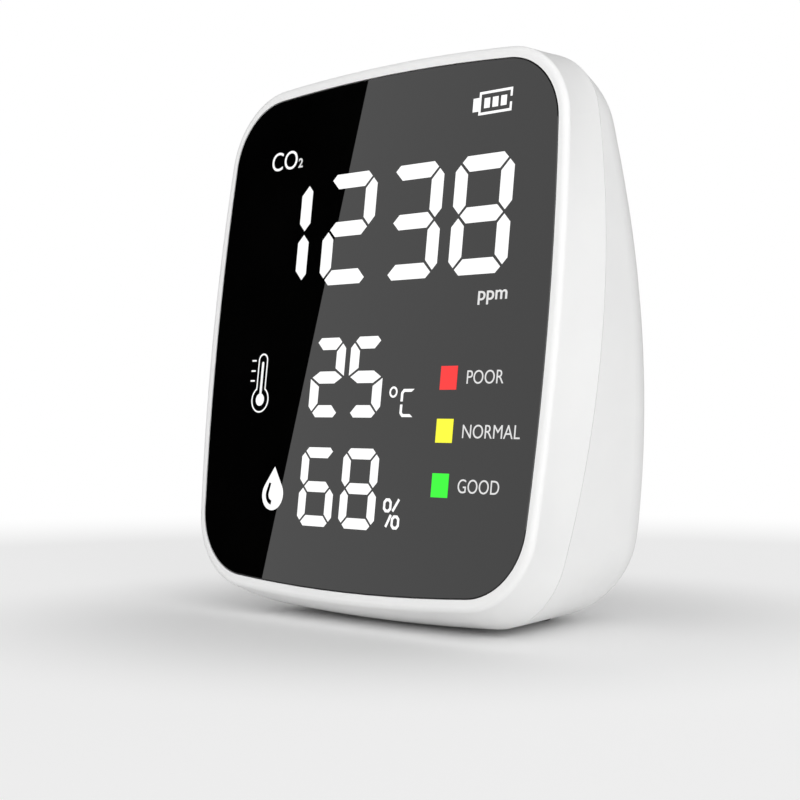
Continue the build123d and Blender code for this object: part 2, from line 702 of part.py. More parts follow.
def usb_tube(inset, length, y):
    """Stadium-section block of the charging socket, its mouth end at y."""
    width, _, height = USB_SHELL
    z = CHARGE_BOARD_Z + BOARD + height / 2
    flat = SlotOverall(width - 2 * inset, height - 2 * inset)
    mouth = Plane(origin=(0, WINDOW_Y + y, z), x_dir=(1, 0, 0), z_dir=(0, -1, 0))
    return mouth * extrude(flat, length)


def usb_socket_shell():
    length = USB_SHELL[1]
    hollow = usb_tube(USB_SHELL_WALL, length - 1.0, USB_MOUTH_Y)
    return usb_tube(0, length, USB_MOUTH_Y) - hollow


def usb_socket_tongue():
    """Contact tongue standing in the middle of the charging socket."""
    z = CHARGE_BOARD_Z + BOARD + USB_SHELL[2] / 2
    length = USB_SHELL[1] - 1.6
    tongue = row_box(6.7, length, 0.7, 0, USB_MOUTH_Y - 0.6 - length / 2, z - 0.35)
    return fillet(tongue.edges().filter_by(Axis.Z).sort_by(Axis.Y)[-2:], 0.6)


def charging_parts():
    """Charging chip, inductor and two capacitors on the charging board."""
    top = CHARGE_BOARD_Z + BOARD
    chip = row_box(4.0, 4.0, 0.9, -7.5, 24.5, top)
    inductor = row_box(4.2, 4.2, 2.0, 7.6, 24.0, top)
    capacitors = [row_box(1.6, 0.8, 0.8, x, 29.0, top) for x in (-7.5, 7.6)]
    return [chip, inductor] + capacitors


def harness_plugs():
    """Plug on the main board and plug under the charging board."""
    upper = FACE * block(*HARNESS_PLUG, MAIN_BOARD_BACK, 0, HARNESS_V)
    lower = row_box(*LOWER_PLUG, 0, LOWER_PLUG_Y, CHARGE_BOARD_Z - LOWER_PLUG[2])
    return [upper, lower]


def charging_ribbon():
    """Flat cable between the two harness plugs."""
    start = at_face(0, HARNESS_V, MAIN_BOARD_BACK + HARNESS_PLUG[2] + 0.2)
    stop = Vector(0, WINDOW_Y + LOWER_PLUG_Y, CHARGE_BOARD_Z - LOWER_PLUG[2] - 0.2)
    middle = Vector(0, stop.Y - 2.4, start.Z + 0.8)
    path = ThreePointArc(start, middle, stop)
    flat = Plane(origin=start, x_dir=(1, 0, 0), z_dir=path.tangent_at(0)) * Rectangle(*RIBBON)
    return sweep(flat, path=path)


# ---------------------------------------------------------------- buttons
def button_cap(x):
    """Push cap with a flange behind the wall; its face follows the slope of the back."""
    flange_r, flange_thick = BUTTON_FLANGE
    stem = along_y(BUTTON_R, 9.0, x, BUTTON_FLANGE_Y, BUTTON_Z)
    stem -= REAR * Pos(0, 0, MOST / 2 + BUTTON_PROUD) * Box(MOST, MOST, MOST)
    face_edge = stem.faces().sort_by(Axis(REAR.origin, REAR.z_dir))[-1].edges()
    stem = fillet(face_edge, 0.5)
    flange = along_y(flange_r, flange_thick, x, BUTTON_FLANGE_Y, BUTTON_Z)
    pin_start = SWITCH_Y + SWITCH[1] + PLUNGER_PROUD
    pin = along_y(PIN_R, BUTTON_FLANGE_Y - pin_start + 0.2, x, pin_start, BUTTON_Z)
    return stem + flange + pin


def switch_body(x):
    """Side-acting tactile switch standing on the charging board, bored for its plunger."""
    width, length, height = SWITCH
    body = row_box(width, length, height, x, SWITCH_Y + length / 2, CHARGE_BOARD_Z + BOARD)
    body = chamfer(body.edges().filter_by(Axis.Z), 0.4)
    return body - along_y(PLUNGER_R + PLUNGER_GAP, 3.0, x, SWITCH_Y + 1.2, BUTTON_Z)


def switch_plunger(x):
    start = SWITCH_Y + 1.8
    length = SWITCH_Y + SWITCH[1] + PLUNGER_PROUD - start
    return along_y(PLUNGER_R, length, x, start, BUTTON_Z)


# ---------------------------------------------------------------- vent
def vent_mesh():
    width, height, thick = MESH
    sheet = extrude(RectangleRounded(width, height, 2.0), thick)
    return REAR * Pos(0, VENT_UP, -BACK_WALL - thick - 0.05) * sheet


# ---------------------------------------------------------------- output
def main():
    os.makedirs("parts", exist_ok=True)
    save("front_housing", front_housing())
    save("rear_housing", rear_housing())
    save("rubber_feet", rubber_feet())
    save("display_window", display_window())
    save("window_adhesive", window_adhesive())
    save("diffuser_film", diffuser_film())
    save("display_reflector", display_reflector())
    save("co2_digit_guides", guides(digit_segments(CO2_DIGITS, 0)))
    save("temperature_digit_guides", guides(digit_segments(TEMP_DIGITS, 0)))
    save("humidity_digit_guides", guides(digit_segments(HUMID_DIGITS, 0)))
    save("icon_guides", guides(icon_faces(0)))
    for colour in STATUS_V:
        save(colour + "_status_guide", guides([status_face(colour, 0)]))
    save("display_leds", display_leds())
    save("display_board", display_board())
    save("display_driver", display_driver())
    save("board_standoffs", board_standoffs())
    save("board_header", board_header())
    save("main_board", main_board())
    save("microcontroller", microcontroller())
    save("co2_sensor_board", co2_sensor_board())
    save("co2_sensor_pins", co2_sensor_pins())
    save("co2_sensor_chamber", co2_sensor_chamber())
    save("co2_sensor_filters", co2_sensor_filters())
    save("sensor_gasket", sensor_gasket())
    save("climate_sensor", climate_sensor())
    save("buzzer", buzzer())
    save("battery_pad", battery_pad())
    save("battery_cell", battery_cell())
    save("battery_leads", battery_leads())
    save("battery_plug", battery_plug())
    save("battery_socket", battery_socket())
    save("charging_board", charging_board())
    save("charging_parts", charging_parts())
    save("harness_plugs", harness_plugs())
    save("charging_ribbon", charging_ribbon())
    save("usb_socket_shell", usb_socket_shell())
    save("usb_socket_tongue", usb_socket_tongue())
    for name, x in (("power", BUTTON_X), ("mode", -BUTTON_X)):
        save(name + "_button", button_cap(x))
        save(name + "_switch", switch_body(x))
        save(name + "_switch_plunger", switch_plunger(x))
    save("vent_mesh", vent_mesh())
    save("case_screws", case_screws())
    save("display_board_screws", display_board_screws())
    save("main_board_screws", main_board_screws())
    save("charging_board_screws", charging_board_screws())


main()
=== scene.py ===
from math import asin, cos, degrees, hypot, radians, sin, sqrt

import bmesh
import bpy
from mathutils import Euler, Matrix, Vector


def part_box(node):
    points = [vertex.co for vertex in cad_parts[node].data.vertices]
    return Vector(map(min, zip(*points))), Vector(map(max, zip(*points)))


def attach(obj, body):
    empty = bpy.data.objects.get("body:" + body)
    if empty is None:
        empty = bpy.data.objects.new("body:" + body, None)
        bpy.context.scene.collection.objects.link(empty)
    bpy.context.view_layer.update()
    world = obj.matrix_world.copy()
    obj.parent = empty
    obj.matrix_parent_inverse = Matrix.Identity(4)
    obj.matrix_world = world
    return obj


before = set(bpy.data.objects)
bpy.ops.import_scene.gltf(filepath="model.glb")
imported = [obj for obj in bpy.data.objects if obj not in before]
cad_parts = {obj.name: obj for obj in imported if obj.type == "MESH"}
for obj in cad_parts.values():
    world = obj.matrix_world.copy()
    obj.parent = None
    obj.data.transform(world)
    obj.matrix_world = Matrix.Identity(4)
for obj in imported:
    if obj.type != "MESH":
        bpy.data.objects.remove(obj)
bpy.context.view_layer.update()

# Desk-top carbon dioxide monitor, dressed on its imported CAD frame.
# Flat marks are drawn in millimetres on the face that carries them: u to the viewer's right and
# v up, from the middle of the face. Everything else is in metres in the frame's own axes.

MM = 0.001
WHITE = (1.0, 1.0, 1.0, 1.0)

# ---------------------------------------------------------------- the window's own axes
WINDOW_LEAN = radians(6.9)
ACROSS = Vector((1.0, 0.0, 0.0))
UP = Vector((0.0, sin(WINDOW_LEAN), cos(WINDOW_LEAN)))
OUT = Vector((0.0, -cos(WINDOW_LEAN), sin(WINDOW_LEAN)))


def window_centre():
    """Middle of the window's front face."""
    low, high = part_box("display_window")
    middle = (Vector(low) + Vector(high)) / 2
    front = max(vertex.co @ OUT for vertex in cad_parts["display_window"].data.vertices)
    return middle + OUT * (front - middle @ OUT)


CENTRE = window_centre()
WINDOW_AXES = Matrix.Translation(CENTRE) @ Matrix((ACROSS, UP, OUT)).transposed().to_4x4()

# ---------------------------------------------------------------- camera and studio
CAMERA_FROM_WINDOW = Vector((194.3, -184.9, -11.9)) * MM
CAMERA_YAW = 45.28               # degrees, turned left from looking along +Y
CAMERA_PITCH = 0.185             # degrees above level
CAMERA_LENS = 76.3
SENSOR_WIDTH = 36.0
CAMERA_CLIP = (0.01, 20.0)


def add_camera():
    """Camera that stands where the object is seen from its right front."""
    data = bpy.data.cameras.new("camera")
    data.lens = CAMERA_LENS
    data.sensor_width = SENSOR_WIDTH
    data.clip_start, data.clip_end = CAMERA_CLIP
    camera = bpy.data.objects.new("camera", data)
    camera.location = CENTRE + CAMERA_FROM_WINDOW
    camera.rotation_euler = Euler((radians(90 + CAMERA_PITCH), 0.0, radians(CAMERA_YAW)))
    bpy.context.scene.collection.objects.link(camera)
    bpy.context.scene.camera = camera
    return camera


def bare_material(name):
    """Material with an empty node tree."""
    material = bpy.data.materials.new(name)
    material.use_nodes = True
    material.node_tree.nodes.clear()
    return material


FRONT_SIDE = Vector((cos(radians(-CAMERA_YAW)), sin(radians(-CAMERA_YAW)), 0.0))
SKY_LEVEL = 0.61                 # the white room's mean strength as a light
SKY_TILT = 0.35                  # and how much stronger it is on the object's right front side
SKY_IN_GLOSS = 0.004             # what polished surfaces see where no light stands


def add_world():
    """White surroundings; polished surfaces see them dark, as in a studio hung with black."""
    world = bpy.data.worlds.new("studio")
    bpy.context.scene.world = world
    world.use_nodes = True
    nodes = world.node_tree.nodes
    links = world.node_tree.links
    nodes.clear()
    path = nodes.new("ShaderNodeLightPath")
    seen = nodes.new("ShaderNodeBackground")
    seen.inputs["Strength"].default_value = 1.0
    place = nodes.new("ShaderNodeTexCoord")
    toward = nodes.new("ShaderNodeVectorMath")
    toward.operation = "DOT_PRODUCT"
    toward.inputs[1].default_value = FRONT_SIDE
    tilt = nodes.new("ShaderNodeMath")
    tilt.operation = "MULTIPLY_ADD"
    tilt.inputs[1].default_value = SKY_TILT
    tilt.inputs[2].default_value = SKY_LEVEL
    lit = nodes.new("ShaderNodeBackground")
    links.new(place.outputs["Generated"], toward.inputs[0])
    links.new(toward.outputs["Value"], tilt.inputs[0])
    links.new(tilt.outputs[0], lit.inputs["Strength"])
    gloss = nodes.new("ShaderNodeBackground")
    gloss.inputs["Strength"].default_value = SKY_IN_GLOSS
    for shade in (seen, lit, gloss):
        shade.inputs["Color"].default_value = WHITE
    by_gloss = nodes.new("ShaderNodeMixShader")
    by_camera = nodes.new("ShaderNodeMixShader")
    output = nodes.new("ShaderNodeOutputWorld")
    links.new(path.outputs["Is Glossy Ray"], by_gloss.inputs[0])
    links.new(lit.outputs[0], by_gloss.inputs[1])
    links.new(gloss.outputs[0], by_gloss.inputs[2])
    links.new(path.outputs["Is Camera Ray"], by_camera.inputs[0])
    links.new(by_gloss.outputs[0], by_camera.inputs[1])
    links.new(seen.outputs[0], by_camera.inputs[2])
    links.new(by_camera.outputs[0], output.inputs["Surface"])


FLOOR_RADIUS = 4.0
FLOOR_SIDES = 96
FLOOR_TONE = 0.95
# The floor's fade to white is painted light: a white glow mixed in for camera rays only.
FLOOR_FADE_NEAR = (0.035, 0.09)  # distances from the object, metres: here it fades halfway
FLOOR_NEAR_MOST = 0.5            # to the white surroundings, the same on every side
FLOOR_FADE_FAR = (0.06, 0.28)    # and here all the way


def add_floor():
    """Pale floor with a painted white glow that only the camera sees, so the floor fades to plain white
    away from the object.
    """
    mesh = bmesh.new()
    bmesh.ops.create_circle(mesh, cap_ends=True, segments=FLOOR_SIDES, radius=FLOOR_RADIUS)
    data = bpy.data.meshes.new("floor")
    mesh.to_mesh(data)
    mesh.free()
    floor = bpy.data.objects.new("floor", data)
    bpy.context.scene.collection.objects.link(floor)
    material = bare_material("pale_floor_painted_glow")
    nodes = material.node_tree.nodes
    links = material.node_tree.links
    place = nodes.new("ShaderNodeTexCoord")
    away = nodes.new("ShaderNodeVectorMath")
    away.operation = "LENGTH"
    fades = []
    for limits, most in ((FLOOR_FADE_NEAR, FLOOR_NEAR_MOST), (FLOOR_FADE_FAR, 1.0)):
        fade = nodes.new("ShaderNodeMapRange")
        fade.interpolation_type = "SMOOTHSTEP"
        fade.inputs["From Min"].default_value = limits[0]
        fade.inputs["From Max"].default_value = limits[1]
        fade.inputs["To Max"].default_value = most
        links.new(away.outputs["Value"], fade.inputs["Value"])
        fades.append(fade.outputs["Result"])
    strongest = nodes.new("ShaderNodeMath")
    strongest.operation = "MAXIMUM"
    links.new(fades[0], strongest.inputs[0])
    links.new(fades[1], strongest.inputs[1])
    matt = nodes.new("ShaderNodeBsdfDiffuse")
    matt.inputs["Color"].default_value = (FLOOR_TONE, FLOOR_TONE, FLOOR_TONE, 1.0)
    # The painted white glow: only the camera sees it, and more of it the farther the floor is from the
    # object.
    white = nodes.new("ShaderNodeEmission")
    white.inputs["Color"].default_value = WHITE
    mix = nodes.new("ShaderNodeMixShader")
    output = nodes.new("ShaderNodeOutputMaterial")
    links.new(place.outputs["Object"], away.inputs[0])
    seen = nodes.new("ShaderNodeLightPath")
    painted_glow_amount = nodes.new("ShaderNodeMath")
    painted_glow_amount.operation = "MULTIPLY"
    links.new(strongest.outputs[0], painted_glow_amount.inputs[0])
    links.new(seen.outputs["Is Camera Ray"], painted_glow_amount.inputs[1])
    links.new(painted_glow_amount.outputs[0], mix.inputs[0])
    links.new(matt.outputs[0], mix.inputs[1])
    links.new(white.outputs[0], mix.inputs[2])
    links.new(mix.outputs[0], output.inputs["Surface"])
    data.materials.append(material)


KEY_SOFTBOX = {"place": (0.85, -0.55, 0.25), "aim": (0.0, 0.0, 0.05), "size": (0.7, 0.7), "watts": 4.6}
TOP_SOFTBOX = {"place": (-0.1, -0.1, 1.0), "aim": (0.0, 0.0, 0.0), "size": (1.0, 1.0), "watts": 0.1}


def add_softbox(name, place, aim, size, watts):
    """Soft rectangular light turned towards a point."""
    data = bpy.data.lights.new(name, "AREA")
    data.shape = "RECTANGLE"
    data.size, data.size_y = size
    data.energy = watts
    light = bpy.data.objects.new(name, data)
    light.location = place
    light.rotation_euler = (Vector(aim) - Vector(place)).to_track_quat("-Z", "Y").to_euler()
    bpy.context.scene.collection.objects.link(light)


# The white card that the window mirrors. Its left edge shows as a slanted line on the window.
CARD_EDGE_TOP = (-4.6, 41.5)     # where that line crosses the window's top, mm
CARD_EDGE_BOTTOM = (-19.9, -41.5)
CARD_FAR_TOP = (125.0, 41.5)     # the card's other edge, well outside the window in this view
CARD_FAR_BOTTOM = (125.0, -41.5)
CARD_STRETCH = 60.0              # the card reaches this far past the window's top and bottom, mm
CARD_DISTANCE = 3.0              # times the way from the camera's mirror image to the window
CARD_GLOW = 1.45


def add_card(camera):
    """Glowing card parallel to the window, placed by mirroring the camera in the window."""
    eye = camera.location - 2 * OUT * ((camera.location - CENTRE) @ OUT)
    slope = (CARD_EDGE_TOP[0] - CARD_EDGE_BOTTOM[0]) / (CARD_EDGE_TOP[1] - CARD_EDGE_BOTTOM[1])
    drift = slope * CARD_STRETCH
    marks = (
        (CARD_EDGE_BOTTOM[0] - drift, CARD_EDGE_BOTTOM[1] - CARD_STRETCH),
        (CARD_FAR_BOTTOM[0], CARD_FAR_BOTTOM[1] - CARD_STRETCH),
        (CARD_FAR_TOP[0], CARD_FAR_TOP[1] + CARD_STRETCH),
        (CARD_EDGE_TOP[0] + drift, CARD_EDGE_TOP[1] + CARD_STRETCH),
    )
    on_window = [WINDOW_AXES @ Vector((u * MM, v * MM, 0.0)) for u, v in marks]
    corners = [eye + (spot - eye) * CARD_DISTANCE for spot in on_window]
    data = bpy.data.meshes.new("white_card")
    data.from_pydata(corners, [], [(0, 1, 2, 3)])
    card = bpy.data.objects.new("white_card", data)
    bpy.context.scene.collection.objects.link(card)
    material = bare_material("card_glow")
    nodes = material.node_tree.nodes
    glow = nodes.new("ShaderNodeEmission")
    glow.inputs["Strength"].default_value = CARD_GLOW
    output = nodes.new("ShaderNodeOutputMaterial")
    material.node_tree.links.new(glow.outputs[0], output.inputs["Surface"])
    data.materials.append(material)
    card.visible_camera = False
    card.visible_diffuse = False
    card.visible_shadow = False


# ---------------------------------------------------------------- finishes
ACRYLIC_IOR = 1.49


def new_material(name):
    """Material with one Principled shader, and what it takes to add nodes before it."""
    material = bpy.data.materials.new(name)
    material.use_nodes = True
    nodes = material.node_tree.nodes
    return material, nodes, material.node_tree.links, nodes["Principled BSDF"]


def object_noise(nodes, links, scale, detail=4.0, roughness=0.5, stretch=(1.0, 1.0, 1.0)):
    """Noise in the object's own axes, optionally stretched into a grain."""
    place = nodes.new("ShaderNodeTexCoord")
    spread = nodes.new("ShaderNodeMapping")
    spread.inputs["Scale"].default_value = stretch
    noise = nodes.new("ShaderNodeTexNoise")
    noise.inputs["Scale"].default_value = scale
    noise.inputs["Detail"].default_value = detail
    noise.inputs["Roughness"].default_value = roughness
    links.new(place.outputs["Object"], spread.inputs["Vector"])
    links.new(spread.outputs["Vector"], noise.inputs["Vector"])
    return noise.outputs["Fac"]


def ramp(nodes, links, value, stops):
    """Colour ramp from (position, grey or colour) pairs."""
    node = nodes.new("ShaderNodeValToRGB")
    while len(node.color_ramp.elements) < len(stops):
        node.color_ramp.elements.new(0.5)
    for element, (position, colour) in zip(node.color_ramp.elements, stops):
        element.position = position
        shade = colour if isinstance(colour, tuple) else (colour, colour, colour)
        element.color = (*shade, 1.0)
    links.new(value, node.inputs["Fac"])
    return node.outputs["Color"]


def spread_value(nodes, links, value, low, high):
    """Map a 0 to 1 pattern onto a working range."""
    node = nodes.new("ShaderNodeMapRange")
    node.inputs["To Min"].default_value = low
    node.inputs["To Max"].default_value = high
    links.new(value, node.inputs["Value"])
    return node.outputs["Result"]


def relief(nodes, links, shader, height, depth, strength=1.0):
    """Bump from a pattern, depth in metres."""
    bump = nodes.new("ShaderNodeBump")
    bump.inputs["Distance"].default_value = depth
    bump.inputs["Strength"].default_value = strength
    links.new(height, bump.inputs["Height"])
    links.new(bump.outputs["Normal"], shader.inputs["Normal"])


def moulded(name, light, dark, rough, grain=2600.0, depth=4e-6, mottling=90.0):
    """Moulded plastic or rubber: faint mottling in the colour, fine sparked grain in the surface."""
    material, nodes, links, shader = new_material(name)
    cloud = object_noise(nodes, links, mottling, detail=3.0)
    links.new(ramp(nodes, links, cloud, ((0.3, dark), (0.7, light))), shader.inputs["Base Color"])
    speck = object_noise(nodes, links, grain, detail=2.0)
    links.new(spread_value(nodes, links, speck, rough - 0.05, rough + 0.05), shader.inputs["Roughness"])
    relief(nodes, links, shader, speck, depth)
    return material


def metal(name, light, dark, rough, stretch=(1.0, 1.0, 1.0), scale=1500.0, depth=2e-6):
    """Metal with fine drawn or tumbled marks along the stretched axes."""
    material, nodes, links, shader = new_material(name)
    shader.inputs["Metallic"].default_value = 1.0
    mark = object_noise(nodes, links, scale, detail=5.0, stretch=stretch)
    links.new(ramp(nodes, links, mark, ((0.3, dark), (0.7, light))), shader.inputs["Base Color"])
    links.new(spread_value(nodes, links, mark, rough - 0.06, rough + 0.08), shader.inputs["Roughness"])
    relief(nodes, links, shader, mark, depth)
    return material


def white_shell():
    """Satin white ABS with a very fine sparked texture."""
    material = moulded("white_shell", (0.90, 0.90, 0.895), (0.88, 0.88, 0.878), 0.46, depth=2.5e-6)
    material.node_tree.nodes["Principled BSDF"].inputs["Specular IOR Level"].default_value = 0.4
    return material


def window_black():
    """Polished black acrylic with the faintest waviness."""
    material, nodes, links, shader = new_material("window_black")
    shader.inputs["IOR"].default_value = ACRYLIC_IOR
    haze = object_noise(nodes, links, 60.0, detail=2.0)
    links.new(ramp(nodes, links, haze, ((0.3, 0.0002), (0.7, 0.0008))), shader.inputs["Base Color"])
    links.new(spread_value(nodes, links, haze, 0.003, 0.006), shader.inputs["Roughness"])
    return material


def lit(name, colour, strength):
    """Lit film with the window's gloss, its glow very slightly uneven."""
    material, nodes, links, shader = new_material(name)
    shader.inputs["Base Color"].default_value = (0.0, 0.0, 0.0, 1.0)
    shader.inputs["IOR"].default_value = ACRYLIC_IOR
    shader.inputs["Roughness"].default_value = 0.005
    shader.inputs["Emission Strength"].default_value = strength
    glow = object_noise(nodes, links, 400.0, detail=1.0)
    dim = tuple(0.97 * c for c in colour)
    links.new(ramp(nodes, links, glow, ((0.3, dim), (0.7, colour))), shader.inputs["Emission Color"])
    return material


SOLDER = (0.72, 0.70, 0.62)
BOARD_CELLS = 275.0              # track cells per metre
BOARD_PADS = 550.0               # pads per metre


def circuit_board(name, mask, copper_mask):
    """Solder mask over etched tracks: tracks and pads stand out a shade lighter and a little proud."""
    material, nodes, links, shader = new_material(name)
    place = nodes.new("ShaderNodeTexCoord")
    cells = nodes.new("ShaderNodeTexVoronoi")
    cells.feature = "DISTANCE_TO_EDGE"
    cells.inputs["Scale"].default_value = BOARD_CELLS
    cells.inputs["Randomness"].default_value = 0.55
    pads = nodes.new("ShaderNodeTexVoronoi")
    pads.distance = "CHEBYCHEV"
    pads.inputs["Scale"].default_value = BOARD_PADS
    pads.inputs["Randomness"].default_value = 0.2
    for texture in (cells, pads):
        links.new(place.outputs["Object"], texture.inputs["Vector"])
    track = ramp(nodes, links, cells.outputs["Distance"], ((0.05, copper_mask), (0.08, mask)))
    pad = ramp(nodes, links, pads.outputs["Distance"], ((0.16, SOLDER), (0.19, 0.0)))
    both = nodes.new("ShaderNodeMix")
    both.data_type = "RGBA"
    both.blend_type = "LIGHTEN"
    both.inputs["Factor"].default_value = 0.5
    links.new(track, both.inputs["A"])
    links.new(pad, both.inputs["B"])
    links.new(both.outputs["Result"], shader.inputs["Base Color"])
    shader.inputs["Roughness"].default_value = 0.3
    relief(nodes, links, shader, cells.outputs["Distance"], 2e-5, strength=0.3)
    return material


def woven_mesh():
    """Fine woven dust mesh: two crossed sets of threads."""
    material, nodes, links, shader = new_material("mesh")
    place = nodes.new("ShaderNodeTexCoord")
    threads = []
    for direction in ("X", "Z"):
        wave = nodes.new("ShaderNodeTexWave")
        wave.bands_direction = direction
        wave.inputs["Scale"].default_value = 900.0
        links.new(place.outputs["Object"], wave.inputs["Vector"])
        threads.append(wave.outputs["Fac"])
    weave = nodes.new("ShaderNodeMath")
    weave.operation = "MAXIMUM"
    for index, thread in enumerate(threads):
        links.new(thread, weave.inputs[index])
    shade = ramp(nodes, links, weave.outputs[0], ((0.35, 0.015), (0.8, 0.09)))
    links.new(shade, shader.inputs["Base Color"])
    shader.inputs["Roughness"].default_value = 0.6
    relief(nodes, links, shader, weave.outputs[0], 6e-5)
    return material


def foam(name, light, dark):
    """Open-celled foam or pressed fibre."""
    material, nodes, links, shader = new_material(name)
    place = nodes.new("ShaderNodeTexCoord")
    cells = nodes.new("ShaderNodeTexVoronoi")
    cells.inputs["Scale"].default_value = 2500.0
    links.new(place.outputs["Object"], cells.inputs["Vector"])
    shade = ramp(nodes, links, cells.outputs["Distance"], ((0.1, dark), (0.5, light)))
    links.new(shade, shader.inputs["Base Color"])
    shader.inputs["Roughness"].default_value = 0.9
    relief(nodes, links, shader, cells.outputs["Distance"], 5e-5)
    return material


def clear_guide():
    """Frosted clear light guide."""
    material, nodes, links, shader = new_material("light_guide")
    frost = object_noise(nodes, links, 3000.0, detail=2.0)
    links.new(ramp(nodes, links, frost, ((0.3, 0.78), (0.7, 0.86))), shader.inputs["Base Color"])
    links.new(spread_value(nodes, links, frost, 0.25, 0.4), shader.inputs["Roughness"])
    return material


RED_SLEEVE = (0.55, 0.02, 0.015)
BLACK_SLEEVE = (0.012, 0.012, 0.013)


def lead_insulation():
    """Red sleeve on the positive lead and black on the other, told apart by their place."""
    material, nodes, links, shader = new_material("lead_insulation")
    place = nodes.new("ShaderNodeTexCoord")
    split = nodes.new("ShaderNodeSeparateXYZ")
    low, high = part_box("battery_leads")
    middle = (low[0] + high[0]) / 2
    side = nodes.new("ShaderNodeMath")
    side.operation = "GREATER_THAN"
    side.inputs[1].default_value = middle
    links.new(place.outputs["Object"], split.inputs[0])
    links.new(split.outputs["X"], side.inputs[0])
    red_or_black = ramp(nodes, links, side.outputs[0], ((0.4, BLACK_SLEEVE), (0.6, RED_SLEEVE)))
    links.new(red_or_black, shader.inputs["Base Color"])
    shader.inputs["Roughness"].default_value = 0.38
    return material


RIBBON_FILM = (0.80, 0.80, 0.78)
RIBBON_CORE = (0.62, 0.60, 0.56)


def ribbon():
    """Flat cable: parallel cores under a translucent white film."""
    material, nodes, links, shader = new_material("ribbon")
    place = nodes.new("ShaderNodeTexCoord")
    cores = nodes.new("ShaderNodeTexWave")
    cores.bands_direction = "X"
    cores.inputs["Scale"].default_value = 160.0
    links.new(place.outputs["Object"], cores.inputs["Vector"])
    stripes = ramp(nodes, links, cores.outputs["Fac"], ((0.4, RIBBON_FILM), (0.6, RIBBON_CORE)))
    links.new(stripes, shader.inputs["Base Color"])
    shader.inputs["Roughness"].default_value = 0.4
    relief(nodes, links, shader, cores.outputs["Fac"], 5e-5)
    return material


GRAIN_ALONG_X = (0.06, 1.0, 1.0)
GREEN_MASK = (0.010, 0.115, 0.045)
GREEN_TRACK = (0.022, 0.20, 0.075)
BLUE_MASK = (0.010, 0.040, 0.16)
BLUE_TRACK = (0.020, 0.085, 0.28)


def finishes():
    """One finish for each of the record's material slots."""
    return {
        "white_shell": white_shell(),
        "foot_rubber": moulded("foot_rubber", 0.055, 0.035, 0.75, grain=1500.0, depth=1.5e-5),
        "window_black": window_black(),
        "adhesive": moulded("adhesive", 0.03, 0.02, 0.5),
        "diffuser": moulded("diffuser", 0.88, 0.82, 0.6, grain=4000.0),
        "reflector_white": moulded("reflector_white", 0.90, 0.84, 0.4),
        "light_guide": clear_guide(),
        "status_red": moulded("status_red", (0.75, 0.03, 0.03), (0.6, 0.02, 0.02), 0.3),
        "status_yellow": moulded("status_yellow", (0.80, 0.70, 0.04), (0.7, 0.6, 0.03), 0.3),
        "status_green": moulded("status_green", (0.04, 0.65, 0.08), (0.03, 0.5, 0.06), 0.3),
        "led_chip": moulded("led_chip", (0.85, 0.78, 0.35), (0.72, 0.62, 0.22), 0.3),
        "circuit_board": circuit_board("circuit_board", GREEN_MASK, GREEN_TRACK),
        "sensor_board": circuit_board("sensor_board", BLUE_MASK, BLUE_TRACK),
        "chip_black": moulded("chip_black", 0.022, 0.014, 0.55, grain=5000.0, depth=6e-6),
        "chip_metal": metal("chip_metal", 0.80, 0.68, 0.28, GRAIN_ALONG_X),
        "standoff_brass": metal("standoff_brass", (0.78, 0.58, 0.26), (0.62, 0.43, 0.17), 0.3),
        "plug_black": moulded("plug_black", 0.03, 0.02, 0.4),
        "plug_white": moulded("plug_white", (0.82, 0.80, 0.74), (0.76, 0.74, 0.68), 0.4),
        "pin_gold": metal("pin_gold", (0.95, 0.70, 0.30), (0.85, 0.60, 0.22), 0.2),
        "sensor_gold": metal("sensor_gold", (0.94, 0.69, 0.31), (0.84, 0.58, 0.22), 0.22, GRAIN_ALONG_X),
        "filter_white": foam("filter_white", 0.85, 0.6),
        "gasket_foam": foam("gasket_foam", 0.05, 0.01),
        "battery_foil": metal("battery_foil", 0.62, 0.5, 0.35, scale=300.0, depth=3e-5),
        "lead_insulation": lead_insulation(),
        "ribbon": ribbon(),
        "socket_steel": metal("socket_steel", 0.72, 0.6, 0.26, GRAIN_ALONG_X),
        "button_plastic": moulded("button_plastic", (0.80, 0.80, 0.79), (0.77, 0.77, 0.76), 0.38),
        "plunger": moulded("plunger", 0.04, 0.03, 0.45),
        "mesh": woven_mesh(),
        "screw_steel": metal("screw_steel", 0.60, 0.45, 0.3),
    }


def dress_nodes(made):
    """Give every carried-over CAD node the finish of its material slot."""
    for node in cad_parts.values():
        for place in node.material_slots:
            slot_name = place.material.name.split(".")[0]
            place.material = made[slot_name]


# ---------------------------------------------------------------- flat marks, mm
MARK_PROUD = 0.03                # a mark stands this far off its face
MARK_SUNK = 0.01                 # and reaches this far into it
WELD = 1e-4                      # points nearer than this are one
ARC_STEP = 6.0                   # degrees between the points of a round outline


def arc(u, v, radius, start, stop):
    """Points round a centre from one angle to another, in degrees."""
    steps = max(2, round(abs(stop - start) / ARC_STEP))
    turns = [radians(start + (stop - start) * i / steps) for i in range(steps + 1)]
    return [(u + radius * cos(turn), v + radius * sin(turn)) for turn in turns]


def circle(u, v, radius):
    return arc(u, v, radius, 0.0, 360.0)[:-1]


def box_outline(u0, u1, v0, v1):
    return [(u0, v0), (u1, v0), (u1, v1), (u0, v1)]


def octagon(u, v, half_w, half_h, cut):
    """Upright eight-sided outline."""
    quarter = [(half_w, half_h - cut), (half_w - cut, half_h)]
    outline = []
    for right, up in ((1, 1), (-1, 1), (-1, -1), (1, -1)):
        points = [(u + right * x, v + up * y) for x, y in quarter]
        outline += points if right * up > 0 else points[::-1]
    return outline


def bar(start, stop, width):
    """Straight stroke with square ends."""
    along = (Vector(stop) - Vector(start)).normalized()
    side = Vector((-along.y, along.x)) * (width / 2)
    first, last = Vector(start), Vector(stop)
    return [tuple(first + side), tuple(first - side), tuple(last - side), tuple(last + side)]


